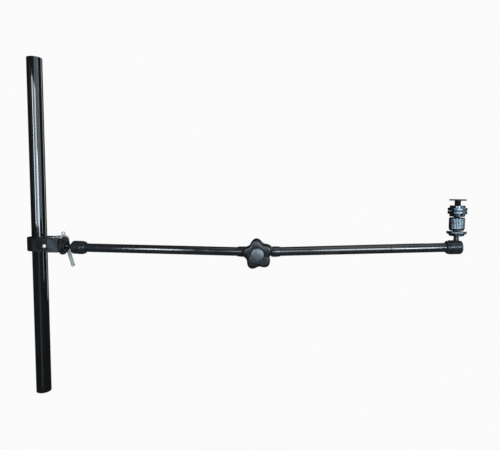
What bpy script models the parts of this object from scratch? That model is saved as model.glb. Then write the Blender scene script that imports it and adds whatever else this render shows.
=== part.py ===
"""Friction arm with a ball joint at each end, clamped to a round upright pole.

World frame: +Z up, X along the arm, -Y toward the side that the elbow knob is on.
The origin is the centre of the pole's lower end.  Lengths are in millimetres and
are multiplied by MM when a point is made.
"""
from math import asin, cos, pi, radians, sin, sqrt

import bmesh
import bpy
from mathutils import Matrix, Vector

MM = 0.001
STEPS = 20                      # facets round a turned piece
STEPS_FINE = 28                 # facets round the wide discs

# upright pole
POLE_LENGTH = 375.5
POLE_R = 8.0
POLE_WALL = 1.5
PLUG_R = 6.2
PLUG_LENGTH = 8.0

# arm layout
ARM_Y = -8.0                    # plane of both tubes
ELBOW_X = 248.7
ELBOW_Z = 168.4
ARM_LENGTH = 200.0              # ball centre to elbow axis, both arms
LEFT_SLOPE = radians(-0.21)
RIGHT_SLOPE = radians(2.72)
STUD_LEAN = radians(6.0)        # the left stud rises toward the clamp

# ball joint
BALL_R = 5.3
BALL_GAP = 0.3
NECK_R = 2.5
THREAD_R = 3.1
THREAD_HOLE_R = 3.4
NECK_END = 10.8
STUD_END = 25.5
SOCKET_R = 7.3
SOCKET_MOUTH = -5.2
SOCKET_REAR = 6.9
LIP_Z = -3.0
MOUTH_R = 5.8
NOTCH_HALF = 2.9
COLLAR_END = 10.2
COLLAR_BORE = 4.95
SEAT_R = 4.3

# tubes
TUBE_R = 4.7
TUBE_BORE = 3.4
TUBE_START = 7.9
SEAM = 64.6
TUBE_END = 185.4
ROD_R = 1.8
SLEEVE_R = 3.15
SLEEVE_BORE = 2.2

# elbow
HUB_R = 9.8
HUB_HALF = 8.0
HUB_GAP = 2.3
WEDGE_R = 9.6
WEDGE_HALF = 2.0
HUB_NECK_R = 5.5
HUB_NECK_NEAR = 13.3
HUB_NECK_FAR = 14.1
SPIGOT_R = 3.1
SPIGOT_FAR = 27.0
FERRULE_NEAR = 14.4
FERRULE_FAR = 22.6
BOLT_R = 3.1
KNOB_FRONT = 21.6
KNOB_BACK = 9.5
KNOB_TIP_R = 16.0
KNOB_VALLEY_R = 12.4
KNOB_LOBES = 5
KNOB_TURN = radians(98.0)
KNOB_CAP_R = 7.0

# lock wheel, one on each ball stud
LEFT_WHEEL_R = 10.0
RIGHT_WHEEL_R = 9.3
WHEEL_TIER_R = 7.2
LEFT_WHEEL_LOW = 12.3           # from the ball centre
RIGHT_WHEEL_LOW = 11.4
WHEEL_TIER = 2.0
WHEEL_DISC = 3.0

# head
COUPLER_R = 7.4
COUPLER_LOW = 17.0
COUPLER_HIGH = 30.2
POST_R = 3.1
DISC_R = 9.0
DISC_TIER_R = 7.2
PLATE_LOW = 47.0
PLATE_HIGH = 48.3
PLATE_WIDE = 15.6
PLATE_DEEP = 17.6
PLATE_TURN = radians(-20.6)

# clamp, heights measured from its middle
CLAMP_Z = 171.6
CLAMP_HALF = 7.6
HOOK_R = 12.7
HOOK_BORE = 9.2
HOOK_END = 15.1
LINER_R = 8.9
LINER_BORE = 8.2
PIN_X = 12.5
PIN_Z = -1.5
PIN_R = 2.2
BRIDGE_START = 15.9
BRIDGE_FRONT_END = 28.0
BRIDGE_REAR_END = 23.8
BRIDGE_TOP = 6.6
BRIDGE_LOW = -8.2
BRIDGE_STEP_Y = -2.2
SCREW_Y = 4.5
SCREW_Z = 4.6
SCREW_R = 3.0
SCREW_HOLE_R = 3.4
SCREW_TIP_X = 13.3
SCREW_HEAD_X = 24.2
SCREW_HEAD_END = 31.0
SCREW_HEAD_R = 4.2
BAR_X = 27.8
BAR_SWEEP_R = 13.3              # space the bar's short end turns in
BAR_R = 2.1
BAR_LEAN = radians(27.0)
BAR_TOP = 7.7
BAR_BOTTOM = -35.3


def clear_scene():
    for obj in list(bpy.data.objects):
        bpy.data.objects.remove(obj, do_unlink=True)


def make_collection(name):
    coll = bpy.data.collections.new(name)
    bpy.context.scene.collection.children.link(coll)
    return coll


def material(name, color, rough, metallic=0.0):
    mat = bpy.data.materials.new(name)
    mat.use_nodes = True
    shader = mat.node_tree.nodes["Principled BSDF"]
    shader.inputs["Base Color"].default_value = (*color, 1.0)
    shader.inputs["Roughness"].default_value = rough
    shader.inputs["Metallic"].default_value = metallic
    return mat


def frame_empty(name, origin, z_axis, y_axis):
    """Empty whose local Z and Y lie along the two directions, which are square to each other."""
    z = Vector(z_axis).normalized()
    y = Vector(y_axis).normalized()
    x = y.cross(z)
    empty = bpy.data.objects.new(name, None)
    empty.matrix_world = Matrix.Translation(Vector(origin) * MM) @ Matrix((x, y, z)).transposed().to_4x4()
    empty.empty_display_size = 0.01
    PARTS.objects.link(empty)
    bpy.context.view_layer.update()
    return empty


def add_object(name, mesh, mat, parent, at=(0.0, 0.0, 0.0), turn=(0.0, 0.0, 0.0)):
    obj = bpy.data.objects.new(name, mesh)
    if mat is None:
        CUTTERS.objects.link(obj)
        obj.hide_render = True
        obj.display_type = "WIRE"
    else:
        PARTS.objects.link(obj)
        mesh.materials.append(mat)
    obj.parent = parent
    obj.location = Vector(at) * MM
    obj.rotation_euler = turn
    return obj


def smooth(obj, angle=35.0):
    obj.data.shade_smooth()
    obj.data.set_sharp_from_angle(angle=radians(angle))


def lathe(name, profile, mat, parent, at=(0, 0, 0), turn=(0, 0, 0), closed=False, steps=STEPS):
    """Turned piece: the (radius, height) profile runs down its outer side from the top."""
    mesh = bpy.data.meshes.new(name)
    points = [(r * MM, 0.0, z * MM) for r, z in profile]
    edges = [(i, i + 1) for i in range(len(points) - 1)]
    if closed:
        edges.append((len(points) - 1, 0))
    mesh.from_pydata(points, edges, [])
    obj = add_object(name, mesh, mat, parent, at, turn)
    screw = obj.modifiers.new("turn", "SCREW")
    screw.axis = "Z"
    screw.steps = steps
    screw.render_steps = steps
    screw.use_merge_vertices = True
    screw.merge_threshold = 0.000005
    screw.use_smooth_shade = True
    return obj


def ring(name, outer, inner, low, high, mat, parent, chamfer=0.3, steps=STEPS):
    """Plain turned ring with its outer corners chamfered."""
    profile = [(inner, high), (outer - chamfer, high), (outer, high - chamfer),
               (outer, low + chamfer), (outer - chamfer, low), (inner, low)]
    return lathe(name, profile, mat, parent, closed=True, steps=steps)


def rod(name, radius, low, high, mat, parent, chamfer=0.3, steps=STEPS):
    """Plain turned rod with chamfered ends."""
    profile = [(0, high), (radius - chamfer, high), (radius, high - chamfer),
               (radius, low + chamfer), (radius - chamfer, low), (0, low)]
    return lathe(name, profile, mat, parent, steps=steps)


def box(name, low, high, mat, parent, bevel=0.0):
    """Box between two corners, in its parent's frame."""
    low, high = Vector(low), Vector(high)
    size = high - low
    bm = bmesh.new()
    bmesh.ops.create_cube(bm, size=1.0)
    bmesh.ops.scale(bm, vec=size * MM, verts=bm.verts)
    mesh = bpy.data.meshes.new(name)
    bm.to_mesh(mesh)
    bm.free()
    obj = add_object(name, mesh, mat, parent, (low + high) / 2)
    if bevel:
        add_bevel(obj, bevel)
    return obj


def cylinder(name, radius, length, mat, parent, at, turn=(0, 0, 0), sides=STEPS):
    """Cylinder centred on at, along its own Z."""
    bm = bmesh.new()
    bmesh.ops.create_cone(bm, cap_ends=True, segments=sides, radius1=radius * MM,
                          radius2=radius * MM, depth=length * MM)
    mesh = bpy.data.meshes.new(name)
    bm.to_mesh(mesh)
    bm.free()
    return add_object(name, mesh, mat, parent, at, turn)


def outline_solid(name, points, low, high, mat, parent, round_edge=0.0):
    """Flat outline extruded from low to high along its own Z."""
    curve = bpy.data.curves.new(name, "CURVE")
    curve.dimensions = "2D"
    curve.fill_mode = "BOTH"
    curve.extrude = (high - low) / 2 * MM - round_edge * MM
    if round_edge:
        curve.bevel_depth = round_edge * MM
        curve.bevel_resolution = 1
        curve.offset = -round_edge * MM
    spline = curve.splines.new("POLY")
    spline.points.add(len(points) - 1)
    for slot, (x, y) in zip(spline.points, points):
        slot.co = (x * MM, y * MM, 0.0, 1.0)
    spline.use_cyclic_u = True
    holder = bpy.data.objects.new(name + "_outline", curve)
    PARTS.objects.link(holder)
    bpy.context.view_layer.update()
    graph = bpy.context.evaluated_depsgraph_get()
    mesh = bpy.data.meshes.new_from_object(holder.evaluated_get(graph))
    bm = bmesh.new()
    bm.from_mesh(mesh)
    bmesh.ops.remove_doubles(bm, verts=bm.verts, dist=0.000002)
    bmesh.ops.recalc_face_normals(bm, faces=bm.faces)
    bm.to_mesh(mesh)
    bm.free()
    mesh.name = name
    mesh.materials.clear()
    bpy.data.objects.remove(holder, do_unlink=True)
    bpy.data.curves.remove(curve)
    return add_object(name, mesh, mat, parent, (0, 0, (low + high) / 2))


def add_bevel(obj, width):
    bevel = obj.modifiers.new("edges", "BEVEL")
    bevel.width = width * MM
    bevel.segments = 1
    bevel.limit_method = "ANGLE"
    bevel.angle_limit = radians(50.0)
    return bevel


def boolean(obj, operation, *others):
    for other in others:
        mod = obj.modifiers.new(operation.lower(), "BOOLEAN")
        mod.operation = operation
        mod.solver = "EXACT"
        mod.object = other
    return obj


def arc(radius, start, end, count):
    """Points of an arc, as (x, y), angles in degrees."""
    result = []
    for i in range(count + 1):
        angle = radians(start + (end - start) * i / count)
        result.append((radius * cos(angle), radius * sin(angle)))
    return result


# ---------------------------------------------------------------- pieces

def build_pole(world):
    high = POLE_LENGTH
    ring("pole_tube", POLE_R, POLE_R - POLE_WALL, 0.0, high, MAT["pole"], world, 0.4, STEPS_FINE)
    rod("pole_bottom_plug", PLUG_R, 0.0, PLUG_LENGTH, MAT["plug"], world)
    rod("pole_top_plug", PLUG_R, high - PLUG_LENGTH, high, MAT["plug"], world)


def hook_outline(outer, inner, reach):
    """U shape open toward +X."""
    return ([(reach, outer)] + arc(outer, 90, 270, 16) + [(reach, -outer), (reach, -inner)]
            + arc(inner, 270, 90, 16) + [(reach, inner)])


def build_clamp(clamp):
    ring("clamp_sleeve", LINER_R, LINER_BORE, -7.0, 7.0, MAT["liner"], clamp, 0.2, STEPS_FINE)

    hook = outline_solid("clamp_hook", hook_outline(HOOK_R, HOOK_BORE, HOOK_END),
                         -CLAMP_HALF, CLAMP_HALF, MAT["hook"], clamp)
    add_bevel(hook, 0.5)
    across = (pi / 2, 0, 0)
    hole = cylinder("cut_pin_hook", PIN_R + 0.2, 40.0, None, clamp, (PIN_X, 0, PIN_Z), across)
    recess = outline_solid("cut_pin_recess", recess_outline(), 0.0, 4.0, None, clamp)
    recess.rotation_euler = across
    recess.location = Vector((PIN_X, -HOOK_R + 0.9 - 2.0, PIN_Z)) * MM
    boolean(hook, "DIFFERENCE", hole, recess)
    smooth(hook)

    bridge = box("clamp_bridge", (BRIDGE_START, BRIDGE_STEP_Y - 0.8, BRIDGE_LOW),
                 (BRIDGE_REAR_END, 13.0, BRIDGE_TOP), MAT["bridge"], clamp, 0.4)
    front = box("join_bridge_front", (BRIDGE_START, -13.0, BRIDGE_LOW),
                (BRIDGE_FRONT_END, BRIDGE_STEP_Y, BRIDGE_TOP), None, clamp, 0.4)
    tongue = box("join_bridge_tongue", (5.0, -8.6, -7.5), (BRIDGE_START + 1.0, 8.6, 1.5), None, clamp)
    boolean(bridge, "UNION", front, tongue)
    pole_space = cylinder("cut_pole_space", HOOK_BORE, 40.0, None, clamp, (0, 0, 0), sides=STEPS_FINE)
    pin_hole = cylinder("cut_pin_bridge", PIN_R + 0.2, 40.0, None, clamp, (PIN_X, 0, PIN_Z), across)
    along = (0, pi / 2, 0)
    stud_hole = cylinder("cut_stud_hole", THREAD_HOLE_R, 7.0, None, LEFT_STUD, (0, 0, STUD_END - 2.6))
    channel = box("cut_screw_channel", (BRIDGE_START - 1, SCREW_Y - SCREW_HOLE_R, SCREW_Z - SCREW_HOLE_R),
                  (BRIDGE_REAR_END + 1, SCREW_Y + SCREW_HOLE_R, BRIDGE_TOP + 2), None, clamp)
    pocket = box("cut_nut_pocket", (17.2, SCREW_Y - 5.4, SCREW_Z - 5.4),
                 (22.3, SCREW_Y + 5.4, BRIDGE_TOP + 2), None, clamp)
    sweep = cylinder("cut_bar_sweep", BAR_SWEEP_R, 5.0, None, clamp, (27.5, SCREW_Y, SCREW_Z), along)
    boolean(bridge, "DIFFERENCE", pole_space, pin_hole, stud_hole, channel, pocket, sweep)

    nut = box("clamp_nut", (17.5, SCREW_Y - 5.1, SCREW_Z - 5.1), (22.0, SCREW_Y + 5.1, SCREW_Z + 3.9),
              MAT["nut"], clamp, 0.3)
    boolean(nut, "DIFFERENCE", cylinder("cut_nut_bore", SCREW_R + 0.25, 20.0, None, clamp,
                                        (20.0, SCREW_Y, SCREW_Z), along))

    pin = rod("clamp_pin", PIN_R, -13.0, 12.6, MAT["chrome"], clamp, 0.5, 12)
    pin.rotation_euler = (-pi / 2, 0, 0)
    pin.location = Vector((PIN_X, 0, PIN_Z)) * MM

    jaw = box("clamp_jaw", (5.0, -8.6, 1.9), (13.0, 8.6, 7.4), MAT["jaw"], clamp, 0.3)
    saddle = cylinder("cut_saddle", LINER_R + 0.25, 40.0, None, clamp, (0, 0, 0), sides=STEPS_FINE)
    nub_hole = cylinder("cut_nub", 2.1, 4.2, None, clamp, (13.3, SCREW_Y, SCREW_Z), along)
    boolean(jaw, "DIFFERENCE", saddle, nub_hole)

    screw_frame = frame_empty("clamp_screw_axis", (SCREW_TIP_X, SCREW_Y, CLAMP_Z + SCREW_Z), (1, 0, 0), (0, 1, 0))
    head = SCREW_HEAD_X - SCREW_TIP_X
    end = SCREW_HEAD_END - SCREW_TIP_X
    screw = lathe("clamp_screw", [(0, end), (SCREW_HEAD_R - 0.8, end), (SCREW_HEAD_R, end - 0.8),
                                  (SCREW_HEAD_R, head + 0.5), (SCREW_HEAD_R - 0.5, head),
                                  (SCREW_R, head), (SCREW_R, 0.4), (SCREW_R - 0.4, 0.0),
                                  (1.8, 0.0), (1.8, -1.7), (1.5, -2.0), (0, -2.0)],
                  MAT["chrome"], screw_frame, steps=16)
    bar_frame = frame_empty("tommy_bar_axis", (BAR_X, SCREW_Y, CLAMP_Z + SCREW_Z),
                            (0, -sin(BAR_LEAN), cos(BAR_LEAN)), (0, cos(BAR_LEAN), sin(BAR_LEAN)))
    boolean(screw, "DIFFERENCE", cylinder("cut_bar_hole", BAR_R + 0.3, 20.0, None, bar_frame, (0, 0, 0), sides=24))

    lathe("tommy_bar", [(0, BAR_TOP + 1.2), (1.2, BAR_TOP + 1.2), (1.2, BAR_TOP), (BAR_R, BAR_TOP),
                        (BAR_R, BAR_BOTTOM), (1.2, BAR_BOTTOM), (1.2, BAR_BOTTOM - 1.2),
                        (0, BAR_BOTTOM - 1.2)], MAT["chrome"], bar_frame, steps=16)
    cap = [(0, 2.1), (1.2, 1.9), (2.0, 1.1), (2.3, 0.3), (2.1, 0.0), (1.5, 0.0), (1.5, 1.3), (0, 1.3)]
    lathe("tommy_bar_cap_top", cap, MAT["chrome"], bar_frame, (0, 0, BAR_TOP + 0.25), steps=16)
    lathe("tommy_bar_cap_bottom", cap, MAT["chrome"], bar_frame, (0, 0, BAR_BOTTOM - 0.25), (pi, 0, 0), steps=16)


def recess_outline():
    """Slot with round ends, its right end on the pin."""
    half = PIN_R + 0.7
    right = arc(half, -90, 90, 8)
    left = [(x - 5.0, y) for x, y in arc(half, 90, 270, 8)]
    return right + left


def stud_profile():
    """Ball, neck and threaded end, from the thread's tip down."""
    profile = [(0, STUD_END), (THREAD_R - 0.5, STUD_END), (THREAD_R, STUD_END - 0.5),
               (THREAD_R, NECK_END + 0.6), (NECK_R, NECK_END)]
    start = asin(NECK_R / BALL_R)
    for i in range(9):
        angle = start + (pi - start) * i / 8
        profile.append((BALL_R * sin(angle) if i < 8 else 0.0, BALL_R * cos(angle)))
    return profile


def build_wheel(name, parent, radius, low):
    """Lock wheel; its small tier and recess face the ball, which is below it."""
    mid = low + WHEEL_TIER
    high = mid + WHEEL_DISC
    profile = [(THREAD_HOLE_R, high), (radius - 0.6, high), (radius, high - 0.6),
               (radius, mid + 0.5), (radius - 0.5, mid), (WHEEL_TIER_R, mid),
               (WHEEL_TIER_R, low + 0.7), (WHEEL_TIER_R - 0.7, low), (5.2, low),
               (4.9, low + 1.4), (THREAD_HOLE_R, low + 1.4)]
    lathe(name, profile, MAT["wheel"], parent, closed=True, steps=STEPS_FINE)


def socket_profile():
    space = BALL_R + BALL_GAP
    profile = [(space, SOCKET_REAR), (SOCKET_R - 0.3, SOCKET_REAR), (SOCKET_R, SOCKET_REAR - 0.3),
               (SOCKET_R, -3.4), (SOCKET_R - 0.45, -4.5), (SOCKET_R - 1.1, SOCKET_MOUTH),
               (MOUTH_R, SOCKET_MOUTH)]
    low = asin(LIP_Z / space)
    for i in range(5):
        angle = low - low * i / 4
        profile.append((space * cos(angle), space * sin(angle)))
    return profile


def build_arm(side, frame, half):
    """One arm in its own frame: ball centre at 0, elbow axis along Y at ARM_LENGTH."""
    socket = lathe(side + "_socket", socket_profile(), MAT["socket"], frame, closed=True, steps=STEPS_FINE)
    flat = cylinder("cut_notch_end_" + side, NOTCH_HALF, 10.0, None, frame, (5.0, 0, 0), (0, pi / 2, 0), 24)
    slot = box("cut_notch_" + side, (0, -NOTCH_HALF, -8.0), (10.0, NOTCH_HALF, 0.0), None, frame)
    boolean(socket, "DIFFERENCE", slot, flat)

    sleeve_r = BALL_R + BALL_GAP - 0.3
    lathe(side + "_collar", [(COLLAR_BORE, COLLAR_END), (5.4, COLLAR_END), (6.7, COLLAR_END - 1.4),
                             (6.7, SOCKET_REAR + 0.3), (sleeve_r, SOCKET_REAR + 0.3), (sleeve_r, 5.2),
                             (COLLAR_BORE, 5.2)],
          MAT["socket"], frame, closed=True)

    space = BALL_R + BALL_GAP
    edge = asin(SEAT_R / space)
    cup = [(space * sin(edge * (3 - i) / 3), space * cos(edge * (3 - i) / 3)) for i in range(4)]
    cup[-1] = (0.0, space)
    lathe(side + "_seat", [(0, 7.6), (SEAT_R, 7.6)] + cup, MAT["nylon"], frame, steps=16)
    rod(side + "_push_rod", ROD_R, 7.9, ARM_LENGTH - WEDGE_R - 0.4, MAT["steel"], frame, 0.5, 12)

    ring(side + "_tube_outer", TUBE_R, TUBE_BORE, TUBE_START, SEAM - 0.15, MAT["tube"], frame, 0.15)
    ring(side + "_tube_inner", TUBE_R, TUBE_BORE, SEAM + 0.15, TUBE_END, MAT["tube"], frame, 0.15)
    ring(side + "_tube_sleeve", SLEEVE_R, SLEEVE_BORE, SEAM - 8.0, SEAM + 8.0, MAT["steel"], frame, 0.2, 16)

    near = ARM_LENGTH - FERRULE_NEAR
    far = ARM_LENGTH - FERRULE_FAR
    lathe(side + "_ferrule", [(TUBE_R + 0.2, near), (5.45, near), (5.65, near - 0.3), (5.65, near - 1.4),
                              (5.3, far + 0.7), (5.1, far), (TUBE_R + 0.2, far)],
          MAT["ferrule"], frame, closed=True)
    build_hub(side, frame, half)


def build_hub(side, frame, half):
    """Half-thickness disc on the elbow axis with the neck and spigot that carry the tube."""
    across = (pi / 2, 0, 0)
    thick = HUB_HALF - HUB_GAP
    mid = half * (HUB_GAP + thick / 2)
    hub = cylinder(side + "_hub", HUB_R, thick, MAT["hub"], frame, (0, mid, ARM_LENGTH), across, STEPS_FINE)
    add_bevel(hub, 0.5)
    near = min(half * HUB_GAP, half * HUB_HALF)
    web = box("join_web_" + side, (-4.9, near, ARM_LENGTH - HUB_NECK_FAR + 0.4),
              (4.9, near + thick, ARM_LENGTH - 7.0), None, frame)
    neck = cylinder("join_neck_" + side, HUB_NECK_R, HUB_NECK_FAR - HUB_NECK_NEAR, None, frame,
                    (0, 0, ARM_LENGTH - (HUB_NECK_FAR + HUB_NECK_NEAR) / 2))
    spigot = cylinder("join_spigot_" + side, SPIGOT_R, SPIGOT_FAR - HUB_NECK_FAR + 0.4, None, frame,
                      (0, 0, ARM_LENGTH - (SPIGOT_FAR + HUB_NECK_FAR - 0.4) / 2), sides=24)
    boolean(hub, "UNION", web, neck, spigot)
    hole = cylinder("cut_bolt_hole_" + side, BOLT_R + 0.3, 30.0, None, frame, (0, 0, ARM_LENGTH), across)
    bore = cylinder("cut_rod_bore_" + side, ROD_R + 0.3, 32.0, None, frame, (0, 0, ARM_LENGTH - 16.0), sides=16)
    boolean(hub, "DIFFERENCE", hole, bore)
    smooth(hub)


def star_outline():
    """Rounded star, KNOB_LOBES tips on KNOB_TIP_R."""
    points = []
    count = 60
    for i in range(count):
        angle = 2 * pi * i / count
        wave = 0.5 + 0.5 * cos(KNOB_LOBES * (angle - KNOB_TURN))
        radius = KNOB_VALLEY_R + (KNOB_TIP_R - KNOB_VALLEY_R) * wave ** 0.85
        points.append((radius * cos(angle), radius * sin(angle)))
    return points


def build_elbow(frame):
    """Bolt, washers, nut and knob, stacked along the elbow axis toward the front."""
    rod("elbow_bolt", BOLT_R, -13.2, 17.0, MAT["steel"], frame, 0.4, 16)
    ring("elbow_wedge", WEDGE_R, BOLT_R + 0.3, -WEDGE_HALF, WEDGE_HALF, MAT["steel"], frame, 0.9, STEPS_FINE)
    ring("elbow_washer_front", 8.4, BOLT_R + 0.3, 8.25, 9.2, MAT["washer"], frame, 0.2)
    ring("elbow_washer_back", 7.4, BOLT_R + 0.3, -9.2, -8.25, MAT["washer"], frame, 0.2)
    nut = cylinder("elbow_nut", 6.35, 4.6, MAT["steel"], frame, (0, 0, -11.8), sides=6)
    add_bevel(nut, 0.4)
    boolean(nut, "DIFFERENCE", cylinder("cut_elbow_nut", BOLT_R + 0.25, 12.0, None, frame, (0, 0, -11.8), sides=24))

    knob = outline_solid("knob", star_outline(), KNOB_BACK, KNOB_FRONT, MAT["knob"], frame, 1.1)
    mid = (KNOB_BACK + KNOB_FRONT) / 2
    bore = cylinder("cut_knob_bore", 5.0, 10.5, None, frame, (0, 0, KNOB_BACK + 3.25))
    bore_in = cylinder("cut_knob_front", KNOB_CAP_R + 0.35, 6.0, None, frame, (0, 0, KNOB_FRONT + 1.3), sides=STEPS_FINE)
    boolean(knob, "DIFFERENCE", bore, bore_in)
    smooth(knob, 40.0)
    ring("knob_insert", 4.7, BOLT_R + 0.25, KNOB_BACK, KNOB_BACK + 8.0, MAT["brass"], frame, 0.2)
    lathe("knob_cap", [(0, KNOB_FRONT + 0.7), (3.5, KNOB_FRONT + 0.62), (5.6, KNOB_FRONT + 0.35),
                       (KNOB_CAP_R - 0.3, KNOB_FRONT - 0.1), (KNOB_CAP_R, KNOB_FRONT - 0.5),
                       (KNOB_CAP_R, KNOB_FRONT - 1.4), (0, KNOB_FRONT - 1.4)],
          MAT["cap"], frame, steps=STEPS_FINE)
    return mid


def plate_outline():
    """Foot plate with cut corners, turned on the stud's axis."""
    wide, deep, cut = PLATE_WIDE / 2, PLATE_DEEP / 2, 1.2
    corners = [(wide, deep - cut), (wide - cut, deep), (cut - wide, deep), (-wide, deep - cut),
               (-wide, cut - deep), (cut - wide, -deep), (wide - cut, -deep), (wide, cut - deep)]
    turn_x, turn_y = cos(PLATE_TURN), sin(PLATE_TURN)
    return [(x * turn_x - y * turn_y, x * turn_y + y * turn_x) for x, y in corners]


def build_head(frame):
    """Coupler, lock discs and foot, stacked along the right stud."""
    groove = COUPLER_LOW + 1.2
    lathe("head_coupler", [(THREAD_HOLE_R, COUPLER_HIGH), (COUPLER_R - 1.0, COUPLER_HIGH),
                           (COUPLER_R, COUPLER_HIGH - 1.0), (COUPLER_R, groove + 0.6),
                           (COUPLER_R - 0.6, groove), (COUPLER_R - 0.6, COUPLER_LOW),
                           (THREAD_HOLE_R, COUPLER_LOW)],
          MAT["coupler"], frame, closed=True, steps=STEPS_FINE)
    bore = POST_R + 0.3
    lathe("lock_disc_lower", [(bore, 36.55), (DISC_R - 0.4, 36.55), (DISC_R, 36.15), (DISC_R, 33.9),
                              (DISC_R - 0.4, 33.5), (DISC_TIER_R, 33.5), (DISC_TIER_R, 31.4),
                              (DISC_TIER_R - 0.5, 30.9), (bore, 30.9)],
          MAT["disc"], frame, closed=True, steps=STEPS_FINE)
    lathe("lock_disc_upper", [(bore, 42.2), (DISC_TIER_R - 0.5, 42.2), (DISC_TIER_R, 41.7),
                              (DISC_TIER_R, 39.9), (DISC_R - 0.4, 39.9), (DISC_R, 39.5), (DISC_R, 37.25),
                              (DISC_R - 0.4, 36.85), (bore, 36.85)],
          MAT["disc"], frame, closed=True, steps=STEPS_FINE)
    foot = outline_solid("shoe_foot", plate_outline(), PLATE_LOW, PLATE_HIGH, MAT["foot"], frame)
    add_bevel(foot, 0.2)
    post = cylinder("join_foot_post", POST_R, PLATE_LOW - 26.0 + 0.6, None, frame,
                    (0, 0, (PLATE_LOW + 26.0 + 0.6) / 2), sides=24)
    boolean(foot, "UNION", post)


clear_scene()
PARTS = make_collection("articulated_pole_arm")
CUTTERS = make_collection("cutters")
MAT = {
    "pole": material("pole_gloss_black", (0.012, 0.013, 0.014), 0.12),
    "plug": material("plug_plastic", (0.02, 0.02, 0.02), 0.6),
    "liner": material("liner_rubber", (0.02, 0.02, 0.02), 0.8),
    "hook": material("hook_black_cast", (0.018, 0.018, 0.019), 0.5, 0.3),
    "bridge": material("bridge_grey_metal", (0.09, 0.11, 0.13), 0.45, 0.6),
    "nut": material("nut_steel", (0.5, 0.48, 0.45), 0.35, 1.0),
    "jaw": material("jaw_steel", (0.35, 0.35, 0.35), 0.4, 1.0),
    "chrome": material("chrome_steel", (0.75, 0.75, 0.74), 0.12, 1.0),
    "steel": material("plain_steel", (0.55, 0.55, 0.55), 0.3, 1.0),
    "wheel": material("wheel_black_anodised", (0.02, 0.021, 0.022), 0.4, 0.5),
    "nylon": material("seat_nylon", (0.75, 0.75, 0.7), 0.6),
    "socket": material("socket_black_anodised", (0.02, 0.021, 0.022), 0.38, 0.5),
    "tube": material("tube_black_anodised", (0.018, 0.019, 0.02), 0.3, 0.5),
    "ferrule": material("ferrule_black_anodised", (0.02, 0.021, 0.022), 0.32, 0.5),
    "hub": material("hub_black_anodised", (0.02, 0.02, 0.021), 0.42, 0.4),
    "washer": material("washer_steel", (0.4, 0.4, 0.4), 0.35, 1.0),
    "knob": material("knob_black_plastic", (0.016, 0.017, 0.018), 0.45),
    "cap": material("knob_cap_grey", (0.09, 0.1, 0.11), 0.45, 0.4),
    "brass": material("insert_brass", (0.6, 0.45, 0.2), 0.3, 1.0),
    "coupler": material("coupler_black_anodised", (0.03, 0.032, 0.035), 0.4, 0.5),
    "disc": material("disc_black_anodised", (0.022, 0.023, 0.025), 0.4, 0.5),
    "foot": material("foot_black_anodised", (0.03, 0.03, 0.032), 0.4, 0.5),
}

LEFT_DIR = Vector((cos(LEFT_SLOPE), 0.0, sin(LEFT_SLOPE)))
RIGHT_DIR = Vector((-cos(RIGHT_SLOPE), 0.0, -sin(RIGHT_SLOPE)))
ELBOW = Vector((ELBOW_X, ARM_Y, ELBOW_Z))
LEFT_BALL = ELBOW - LEFT_DIR * ARM_LENGTH
RIGHT_BALL = ELBOW - RIGHT_DIR * ARM_LENGTH
BACK = (0, 1, 0)

WORLD = frame_empty("pole_foot", (0, 0, 0), (0, 0, 1), BACK)
CLAMP = frame_empty("clamp_middle", (0, 0, CLAMP_Z), (0, 0, 1), BACK)
LEFT_STUD = frame_empty("left_stud_axis", LEFT_BALL, (-cos(STUD_LEAN), 0, sin(STUD_LEAN)), BACK)
LEFT_ARM = frame_empty("left_arm_axis", LEFT_BALL, LEFT_DIR, BACK)
ELBOW_AXIS = frame_empty("elbow_axis", ELBOW, (0, -1, 0), (0, 0, 1))
RIGHT_ARM = frame_empty("right_arm_axis", RIGHT_BALL, RIGHT_DIR, BACK)
HEAD = frame_empty("head_axis", RIGHT_BALL, (0, 0, 1), BACK)

build_pole(WORLD)
build_clamp(CLAMP)
lathe("left_ball_stud", stud_profile(), MAT["steel"], LEFT_STUD)
build_wheel("left_lock_wheel", LEFT_STUD, LEFT_WHEEL_R, LEFT_WHEEL_LOW)
build_arm("left", LEFT_ARM, -1)
build_elbow(ELBOW_AXIS)
build_arm("right", RIGHT_ARM, 1)
lathe("right_ball_stud", stud_profile(), MAT["steel"], HEAD)
build_wheel("right_lock_wheel", HEAD, RIGHT_WHEEL_R, RIGHT_WHEEL_LOW)
build_head(HEAD)
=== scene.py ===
"""Looks of the articulated pole arm: fine meshes, materials, light and camera.

Every mesh is made in the row frame.  Lengths are in millimetres and each piece has
an axis matrix that turns its own millimetres into the frame's metres.
"""
from math import asin, ceil, cos, hypot, pi, radians, sin

import bmesh
import bpy
from mathutils import Matrix, Vector


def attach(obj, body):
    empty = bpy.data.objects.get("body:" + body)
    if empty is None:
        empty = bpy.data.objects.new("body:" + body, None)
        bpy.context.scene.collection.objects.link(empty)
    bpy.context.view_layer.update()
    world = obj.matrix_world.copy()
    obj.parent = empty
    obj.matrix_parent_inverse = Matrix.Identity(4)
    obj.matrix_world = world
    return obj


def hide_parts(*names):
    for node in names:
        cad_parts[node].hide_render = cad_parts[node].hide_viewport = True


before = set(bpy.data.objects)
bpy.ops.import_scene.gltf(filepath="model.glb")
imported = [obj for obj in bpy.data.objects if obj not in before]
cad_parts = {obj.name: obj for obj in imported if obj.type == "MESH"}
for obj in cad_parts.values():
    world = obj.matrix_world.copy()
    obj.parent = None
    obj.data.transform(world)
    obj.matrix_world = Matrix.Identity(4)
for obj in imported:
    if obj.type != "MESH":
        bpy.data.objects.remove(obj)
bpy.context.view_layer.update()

MM = 0.001

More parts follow.
